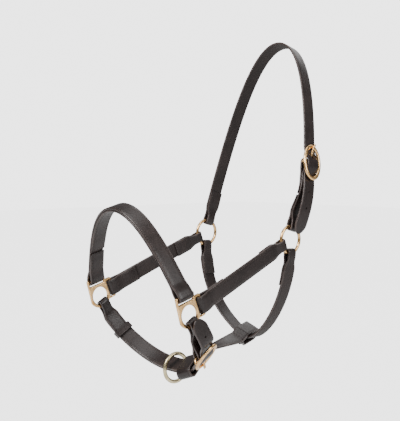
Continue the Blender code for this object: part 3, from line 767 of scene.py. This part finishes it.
class Buckle:
    """A buckle's place on its strap: bar in the plane, tongue direction, outward side."""

    def __init__(self, bar, towards, outwards, plane):
        self.bar = Vector(bar)
        self.along = Vector(towards).normalized()
        self.out = Vector((-self.along.y, self.along.x))
        if self.out.dot(Vector(outwards)) < 0:
            self.out = -self.out
        self.plane = plane

    def point(self, t, n):
        """t along the tongue from the bar, n outwards."""
        return self.bar + self.along * t + self.out * n

    def frame(self):
        """x along the tongue, y outwards, z along the bar, origin on the bar."""
        turn = self.plane.to_3x3()
        origin = self.plane @ Vector((*self.bar, 0))
        x = turn @ Vector((*self.along, 0))
        y = turn @ Vector((*self.out, 0))
        return axes(origin, x, y)

    def billet(self, ends=0.026, steps=60):
        """The holed strap, from the tongue's side: under the rim, over the bar, and under."""
        points = []
        for i in range(steps + 1):
            t = ends * (1 - 2 * i / steps)
            lift = (1 + cos(pi * min(1.0, abs(t) / BUCKLE_LENGTH))) / 2
            points.append(self.point(t, BILLET_LOW + (BILLET_HIGH - BILLET_LOW) * lift))
        return points

    def chape(self, steps=24):
        """Middle of the doubled strap that holds the bar, from the rim up to the bar."""
        points = []
        for i in range(steps + 1):
            share = 1 - i / steps
            drop = (1 - cos(pi * share)) / 2
            points.append(self.point(-BUCKLE_LENGTH * share, CHAPE_LOW * drop))
        return points


def dipping_bar():
    """Points of the bar: straight under the strap, and curved up to the rim at both ends."""
    low = STRAP_WIDTH / 2 + BAR_CLEARANCE
    half = [(0, 0, low)]
    for i in range(1, BAR_BENDS + 1):
        angle = pi / 2 * i / BAR_BENDS
        beyond = (BUCKLE_HALF_WIDTH - low) * sin(angle)
        half.append((0, BUCKLE_RISE * (1 - cos(angle)), low + beyond))
    return [(x, y, -z) for x, y, z in half[::-1]] + half


def buckle_frame(name, buckle):
    """A flat oval rim, with a bar across its middle that dips under the straps."""
    cast = wire(name, dipping_bar(), False, BAR_WIRE, buckle.frame(), BRASS)
    points = [corner.co.copy() for corner in cast.data.vertices]
    faces = [tuple(face.vertices) for face in cast.data.polygons]
    base = len(points)
    for i in range(ROUND_STEPS):
        c, s = cos(2 * pi * i / ROUND_STEPS), sin(2 * pi * i / ROUND_STEPS)
        spot = Vector((c * BUCKLE_LENGTH, s * BUCKLE_HALF_WIDTH))
        outward = Vector((c * BUCKLE_HALF_WIDTH, s * BUCKLE_LENGTH)).normalized()
        low = base + i * RIM_SIDES
        high = base + (i + 1) % ROUND_STEPS * RIM_SIDES
        for k in range(RIM_SIDES):
            turn = 2 * pi * k / RIM_SIDES
            at = spot + outward * RIM_HALF_WIDTH * cos(turn)
            points.append(Vector((at.x, BUCKLE_RISE + WIRE * sin(turn), at.y)))
            after = (k + 1) % RIM_SIDES
            faces.append((low + k, high + k, high + after, low + after))
    cast.data = smooth_mesh(name, points, faces, BRASS)
    return cast


def tongue(name, buckle):
    """An eye round the bar and a flat shank that rests on the rim."""
    rest = Vector((BUCKLE_LENGTH, BUCKLE_RISE + WIRE + TONGUE_LIFT * TONGUE_THICKNESS + GAP))
    shank = rest.normalized()
    side = Vector((-shank.y, shank.x)) * TONGUE_THICKNESS / 2
    slope = degrees(atan2(shank.y, shank.x))
    tip = shank * (rest.length + TONGUE_OVERHANG)
    outline = arc((0, 0), TONGUE_EYE, slope + TONGUE_OPENING, slope + 360 - TONGUE_OPENING, 40)
    for sideways, onward in ((-0.8, 0.0), (-0.2, 0.0004), (0.4, 0.0001), (0.8, -0.0012)):
        outline.append(tuple(tip + side * sideways + shank * onward))
    bore = arc((0, 0), TONGUE_BORE, 0, 350, 35)
    return plate(name, [outline, bore], TONGUE_WIDTH, buckle.frame(), BRASS, TONGUE_ROUNDING)


CROWN_BUCKLE = Buckle((0.0895, 0.1040), (-0.21, 0.98), (1, 0), CROWN_PLANE)
CHIN_BUCKLE = Buckle((0.0800, 0.0620), (-0.695, 0.719), (1, 0.5), CHIN_PLANE)


# ---------------------------------------------------------------- holes in straps

def punch(obj, matrix, start, end, width):
    """Cuts a round-ended hole that runs from start to end along the matrix's x."""
    radius = width / 2
    outline = arc((end - radius, 0), radius, -90, 90, 12)
    outline += arc((start + radius, 0), radius, 90, 270, 12)
    cutter = plate("cutter", [outline], CUTTER_DEPTH, matrix, EDGE_WITH_PAINTED_HIGHLIGHT, 0.0)
    cut = obj.modifiers.new("hole", "BOOLEAN")
    cut.operation = "DIFFERENCE"
    cut.object = cutter
    mesh = shown_mesh(obj)
    obj.modifiers.clear()
    obj.data = mesh
    bpy.data.objects.remove(cutter, do_unlink=True)


def hole_frame(plane, line, distance):
    """x along the strap at this distance along the line, z through it."""
    point = point_at(line, distance)
    ahead = (point_at(line, distance + 0.001) - point).normalized()
    turn = plane.to_3x3()
    return axes(plane @ point.to_3d(), turn @ ahead.to_3d(), turn @ Vector((0, 0, 1)))


def slot_frame(buckle):
    """x along the tongue, y along the bar, z through the strap."""
    turn = buckle.frame().to_3x3()
    x, y, z = turn.col[0], turn.col[1], turn.col[2]
    return axes(buckle.frame().translation + y * BILLET_HIGH / 2, x, -z)


# ---------------------------------------------------------------- straps

RING_EYE = (RING_RADIUS**2 - (EYE_WIDTH / 2) ** 2) ** 0.5
DEE_EYE = DEE_OVAL_DROP + ((DEE_OVAL[1] + DEE_BAR / 2) ** 2 - (EYE_WIDTH / 2) ** 2) ** 0.5 - 0.001
NOSE_EYE = NOSE_SLOT[1] + DEE_BAR / 2
CHEEK_EYE = CHEEK_SLOT[1] + DEE_BAR / 2
NEAR_RING, FAR_RING = (Vector((x, RING_EYE)) for x in (RING_X, -RING_X))
NEAR_DEE, FAR_DEE = (Vector((x, DEE_EYE)) for x in (DEE_X, -DEE_X))
FOLD_RUN = pi * FOLD_RADIUS
SHORT_SEAM = TURN_BACK - SEAM_CLEAR - SEAM_END


def stitch_doubled(strap, main_side, turn_back=TURN_BACK, folds=(FOLD_RUN, FOLD_RUN),
                   clear=SEAM_CLEAR):
    """Stitches a strap that is folded at both ends, on both of its outer faces."""
    whole = strap.run[-1]
    main_start, main_end = turn_back + folds[0], whole - turn_back - folds[1]
    strap.seam(SEAM_END, turn_back - clear, main_side)
    strap.seam(main_start + clear, main_end - clear, main_side)
    strap.seam(whole - turn_back + clear, whole - SEAM_END, main_side)


def noseband():
    """From dee to dee over the nose, folded round both, with a lining between the ends."""
    near_bar = Vector((DEE_X, NOSE_EYE))
    far_bar = Vector((-DEE_X, NOSE_EYE))
    top = (0, NOSE_RISE)
    line = [near_bar]
    line += bezier(near_bar, (0.0720, 0.058), (0.0460, NOSE_RISE), top)
    line += bezier(top, (-0.0460, NOSE_RISE), (-0.0720, 0.058), far_bar)
    strap = Strap("noseband_leather", doubled_ends(line, -1), NOSE_PLANE, grain_side="right")
    stitch_doubled(strap, -1)
    add_strap(strap, "head_straps", "leather", "noseband")
    run = lengths(line)[-1]
    lining = layer(line, 1, TURN_BACK + LINING_CLEAR, run - TURN_BACK - LINING_CLEAR)
    strap = Strap("noseband_lining_leather", lining, NOSE_PLANE)
    strap.seam(LINING_CLEAR, strap.run[-1] - LINING_CLEAR, 1)
    add_strap(strap, "head_straps", "lining_leather", "noseband_lining")


def cheek_strap(name, side):
    """From the dee's rear bar to the cheek ring, folded round both."""
    start = DEE_LEVEL + CHEEK * CHEEK_EYE + ACROSS * side * DEE_X
    end = RING_LEVEL - CHEEK * RING_EYE + ACROSS * side * RING_X
    along = (end - start).normalized()
    outwards = (ACROSS * side - along * along.dot(ACROSS * side)).normalized()
    length = (end - start).length
    steps = ceil(length / STATION)
    line = [Vector((length * i / steps, 0)) for i in range(steps + 1)]
    strap = Strap(name + "_leather", doubled_ends(line, 1), axes(start, along, outwards),
                  eyes=[line[-1]])
    stitch_doubled(strap, 1)
    add_strap(strap, "head_straps", "leather", name)


def throat_strap():
    """From ring to ring under the throat, folded round both and stitched only at its ends."""
    bottom = Vector((THROAT_X, THROAT_DROP))
    tilt = Vector((cos(THROAT_TILT), sin(THROAT_TILT)))
    line = [NEAR_RING]
    line += bezier(NEAR_RING, (0.081, 0.085), bottom + tilt * 0.030, bottom)
    line += bezier(bottom, bottom - tilt * 0.045, (-0.078, 0.088), FAR_RING)
    strap = Strap("throat_strap_leather", doubled_ends(line, -1), THROAT_PLANE,
                  eyes=[NEAR_RING, FAR_RING])
    whole = strap.run[-1]
    first_main = TURN_BACK + FOLD_RUN + SEAM_CLEAR
    last_main = whole - 2 * TURN_BACK - FOLD_RUN + SEAM_END
    for low in (SEAM_END, whole - TURN_BACK + SEAM_CLEAR, first_main, last_main):
        strap.seam(low, low + SHORT_SEAM, -1)
    add_strap(strap, "head_straps", "leather", "throat_strap")


def buckled_strap(name, node, body, line, buckle, tail, holes, doubled):
    """A strap folded at its start, run through a buckle, with a loose pointed tail."""
    main = layer(line, 1, spacing=first_end)
    turn_back = layer(line, -1, high=TURN_BACK, spacing=first_end)
    path = turn_back[::-1] + fold(line[0], line[1] - line[0], -1) + main
    path += buckle.billet() + tail
    plane = buckle.plane
    strap = Strap(name, path, plane, eyes=[line[0]], tip=TIP_LENGTH, skived=("start",))
    start = TURN_BACK + FOLD_RUN + SEAM_CLEAR
    strap.seam(SEAM_END, TURN_BACK - SEAM_CLEAR, 1)
    strap.seam(start, start + doubled, 1)
    leather = add_strap(strap, body, "leather", node)
    punch(leather, slot_frame(buckle), HOLE_START, HOLE_END, HOLE_WIDTH)
    radius = TAIL_HOLE / 2
    for distance in holes:
        punch(leather, hole_frame(plane, tail, distance), -radius, radius, TAIL_HOLE)
    leather.data.set_sharp_from_angle(angle=SMOOTH_ANGLE)


def chape(name, node, body, line, main_side, buckle):
    """A short doubled strap between a ring or dee and a buckle's bar, slotted for the tongue."""
    half = lengths(line)[-1] / 2 - 0.001
    strap = Strap(name, doubled_ends(line, main_side, half), buckle.plane, eyes=[line[0]],
                  grain_side="left" if main_side == 1 else "right")
    stitch_doubled(strap, main_side, half)
    leather = add_strap(strap, body, "leather", node)
    matrix = buckle.frame() @ Matrix.Rotation(-pi / 2, 4, "X")
    punch(leather, matrix, -CHAPE_SLOT[0], CHAPE_SLOT[0], CHAPE_SLOT[1])
    leather.data.set_sharp_from_angle(angle=SMOOTH_ANGLE)


def crown():
    """The strap over the poll, and the short strap that holds its buckle."""
    top = (0, CROWN_RISE + LEATHER / 2 - LAYER)
    entry = CROWN_BUCKLE.billet()[0] - CROWN_BUCKLE.out * LAYER
    pull = entry + CROWN_BUCKLE.along * 0.050
    line = [FAR_RING]
    line += bezier(FAR_RING, (-0.070, 0.130), (-0.056, top[1]), top, 90)
    line += bezier(top, (0.047, top[1]), pull, entry, 70)
    exit_point = CROWN_BUCKLE.billet()[-1]
    tail = bezier(exit_point, exit_point - CROWN_BUCKLE.along * 0.025, (0.0985, 0.035),
                  (0.0925, 0.0085), 40)
    buckled_strap("crown_leather", "crown_strap", "crown", line, CROWN_BUCKLE, tail,
                  (0.012, 0.034), SHORT_SEAM)
    station = CROWN_BUCKLE.chape()
    hold = [NEAR_RING]
    hold += bezier(NEAR_RING, (0.0800, 0.038), station[0] - CROWN_BUCKLE.along * 0.022,
                   station[0], 40)
    hold += station[1:]
    chape("crown_buckle_leather", "crown_buckle_strap", "crown", hold, -1, CROWN_BUCKLE)


def chin_line():
    """Middle of the doubled chin strap from the far dee to the buckle."""
    bottom = (0, CHIN_DROP)
    entry = CHIN_BUCKLE.billet()[0] - CHIN_BUCKLE.out * LAYER
    line = [FAR_DEE]
    line += bezier(FAR_DEE, (-0.094, 0.052), (-0.050, CHIN_DROP), bottom, 60)
    line += bezier(bottom, (0.028, CHIN_DROP), entry + CHIN_BUCKLE.along * 0.018, entry, 40)
    return line


def chin():
    """The chin strap with its lining, and the short strap that holds its buckle."""
    line = chin_line()
    exit_point = CHIN_BUCKLE.billet()[-1]
    tail = bezier(exit_point, exit_point - CHIN_BUCKLE.along * 0.006, (0.1010, 0.028),
                  (0.0995, 0.0080), 30)
    run = lengths(line)[-1]
    buckled_strap("chin_leather", "chin_strap", "head_straps", line, CHIN_BUCKLE, tail,
                  (0.012,), run - SEAM_CLEAR - 0.018)
    lining = layer(line, -1, TURN_BACK + LINING_CLEAR, run - SEAM_CLEAR, first_end)
    strap = Strap("chin_lining_leather", lining, CHIN_PLANE, grain_side="right")
    strap.seam(LINING_CLEAR, strap.run[-1] - LINING_CLEAR, -1)
    add_strap(strap, "head_straps", "lining_leather", "chin_strap_lining")
    bar = CHIN_BUCKLE.bar
    hold = [NEAR_DEE] + bezier(NEAR_DEE, (0.0895, 0.032), bar + Vector((0.0040, -0.016)), bar, 50)
    chape("chin_buckle_leather", "chin_buckle_strap", "head_straps", hold, 1, CHIN_BUCKLE)


def chin_keeper():
    """A leather loop that slides on the doubled chin strap."""
    line = chin_line()
    middle = point_at(line, KEEPER_DISTANCE)
    ahead = (point_at(line, KEEPER_DISTANCE + 0.002) - middle).normalized()
    turn = CHIN_PLANE.to_3x3()
    out = turn @ Vector((-ahead.y, ahead.x, 0))
    across = turn @ Vector((0, 0, 1))
    matrix = axes(CHIN_PLANE @ middle.to_3d(), across, out)
    half_width = (STRAP_WIDTH + SPREAD) / 2 + KEEPER_CLEARANCE / 2
    half_height = LAYER + LEATHER / 2 + KEEPER_CLEARANCE
    outlines = []
    for leather, corner in zip((KEEPER_LEATHER, 0), KEEPER_CORNERS):
        x, y = half_width + leather, half_height + leather
        outlines.append(rounded_box((-x, -y), (x, y), corner))
    loop = plate("chin_keeper_leather", outlines, KEEPER_LENGTH, matrix, GRAIN, KEEPER_ROUNDING)
    add(loop, "chin_keeper", "leather", "chin_keeper")


def slope_in(frame_x, frame_y, direction):
    """Unit vector of a world direction seen in the plane of two world axes."""
    return Vector((direction.dot(frame_x), direction.dot(frame_y))).normalized()


def jaw_height(at, whole):
    """Half the space between the jaw stay's two layers."""
    loop = JAW_LOOPS[0] if at < whole / 2 else JAW_LOOPS[1]
    share = ease((min(at, whole - at) - 2 * JAW_REACH) / JAW_CLOSING)
    return loop + (LAYER - loop) * share


def jaw_stay():
    """The strap under the jaw, looped round the chin strap and the throat strap."""
    line = chin_line()
    left, centre, right = (at_x(line, JAW_STAY_X + x) for x in (-JAW_SAMPLE, 0, JAW_SAMPLE))
    chin_point = CHIN_PLANE @ ((left + right) / 4 + centre / 2).to_3d()
    chin_way = CHIN_PLANE.to_3x3() @ (right - left).to_3d()
    throat_point = THROAT_PLANE @ Vector((THROAT_X, THROAT_DROP, 0))
    throat_way = ACROSS * cos(THROAT_TILT) + THROAT_DOWN * sin(THROAT_TILT)
    along = (throat_point - chin_point).normalized()
    length = (throat_point - chin_point).length
    up = chin_way.cross(along).normalized()
    throat_up = throat_way.cross(along).normalized()
    roll = atan2(up.cross(throat_up).dot(along), up.dot(throat_up))

    over_chin = slope_in(along, up, CHIN_PLANE.to_3x3().col[2]) * JAW_REACH
    over_throat = slope_in(along, throat_up, THROAT_PLANE.to_3x3().col[2]) * JAW_REACH
    chin_end = Vector((-JAW_TWIST, 0))
    throat_end = Vector((length - JAW_TWIST, 0))
    middle = [chin_end - over_chin, chin_end, chin_end + over_chin]
    middle += bezier(middle[2], middle[2] + over_chin * JAW_PULLS[0],
                     throat_end - over_throat * JAW_PULLS[1], throat_end - over_throat, 60)
    middle += [throat_end, throat_end + over_throat]
    span = length - 2 * JAW_TWIST

    def rolled(point):
        """The point turned about the strap's length, by more the further it is along."""
        angle = roll * min(max(point.x / span, 0.0), 1.0)
        c, s = cos(angle), sin(angle)
        return Vector((point.x, c * point.y - s * point.z, s * point.y + c * point.z))

    strap = Strap("jaw_stay_leather", doubled_ends(middle, 1, TURN_BACK, jaw_height, JAW_LOOPS),
                  axes(chin_point + along * JAW_TWIST, along, up), warp=rolled)
    stitch_doubled(strap, 1, TURN_BACK, (pi * JAW_LOOPS[0], pi * JAW_LOOPS[1]), JAW_SEAM_CLEAR)
    add_strap(strap, "head_straps", "leather", "jaw_stay")


# ---------------------------------------------------------------- assembly

def fittings():
    """The rings, dees and buckles."""
    to_side = Matrix.Rotation(pi / 2, 4, "Y")
    for label, side in (("near", 1), ("far", -1)):
        centre = Matrix.Translation(RING_LEVEL + ACROSS * side * RING_X)
        add(ring(label + "_ring_brass", centre @ to_side, RING_RADIUS, RING_WIRE, BRASS),
            label + "_ring", "brass", label + "_ring")
        add(square_dee(label + "_dee_brass", side), "head_straps", "brass", label + "_square_dee")
    for label, buckle in (("crown", CROWN_BUCKLE), ("chin", CHIN_BUCKLE)):
        add(buckle_frame(label + "_buckle_brass", buckle), label + "_buckle_frame", "brass",
            label + "_buckle_frame")
        add(tongue(label + "_tongue_brass", buckle), label + "_buckle_tongue", "brass",
            label + "_buckle_tongue")
    hang = CHIN_PLANE @ Vector((LEAD_RING_X, CHIN_DROP, 0)) - Vector((0, 0, LEAD_RING_DROP))
    place = Matrix.Translation(hang) @ to_side
    add(ring("lead_ring_brass", place, RING_RADIUS, LEAD_RING_WIRE, PALE_BRASS),
        "lead_ring", "pale_brass", "lead_ring")


def aimed(name, data, azimuth, elevation, distance):
    """A light or camera that faces the headcollar's middle from this direction."""
    toward = Vector((sin(azimuth) * cos(elevation), -cos(azimuth) * cos(elevation), sin(elevation)))
    obj = placed(name, data)
    obj.location = VIEW_TARGET + toward * distance
    obj.rotation_euler = toward.to_track_quat("Z", "Y").to_euler()
    return obj


def camera():
    """The camera, which sees the headcollar from its near front."""
    data = bpy.data.cameras.new("camera")
    data.lens = VIEW_LENS
    bpy.context.scene.camera = aimed("camera", data, VIEW_AZIMUTH, VIEW_ELEVATION, VIEW_DISTANCE)


def studio():
    """A pale floor, four soft lights and a backdrop that is paler than the light it gives."""
    bpy.ops.mesh.primitive_plane_add(size=FLOOR_SIZE, location=(0, 0, FLOOR_LEVEL))
    floor = bpy.context.object
    floor.name = "floor"
    floor.data.materials.append(floor_material())
    for name, azimuth, elevation, distance, size, power in LIGHTS:
        data = bpy.data.lights.new(name, "AREA")
        data.size = size
        data.energy = power
        aimed(name, data, radians(azimuth), radians(elevation), distance)
    world = bpy.data.worlds.new("studio")
    world.use_nodes = True
    tree = world.node_tree
    background = tree.nodes["Background"]
    background.inputs["Color"].default_value = (1.0, 1.0, 1.0, 1.0)
    seen = tree.nodes.new("ShaderNodeLightPath")
    level = tree.nodes.new("ShaderNodeMapRange")
    set_inputs(level, To_Min=WORLD_LIGHT, To_Max=WORLD_SEEN)
    tree.links.new(seen.outputs["Is Camera Ray"], level.inputs["Value"])
    tree.links.new(level.outputs["Result"], background.inputs["Strength"])
    bpy.context.scene.world = world


camera()
studio()
crown()
noseband()
chin()
chin_keeper()
throat_strap()
jaw_stay()
for cheek, cheek_side in (("near_cheek_strap", 1), ("far_cheek_strap", -1)):
    cheek_strap(cheek, cheek_side)
fittings()
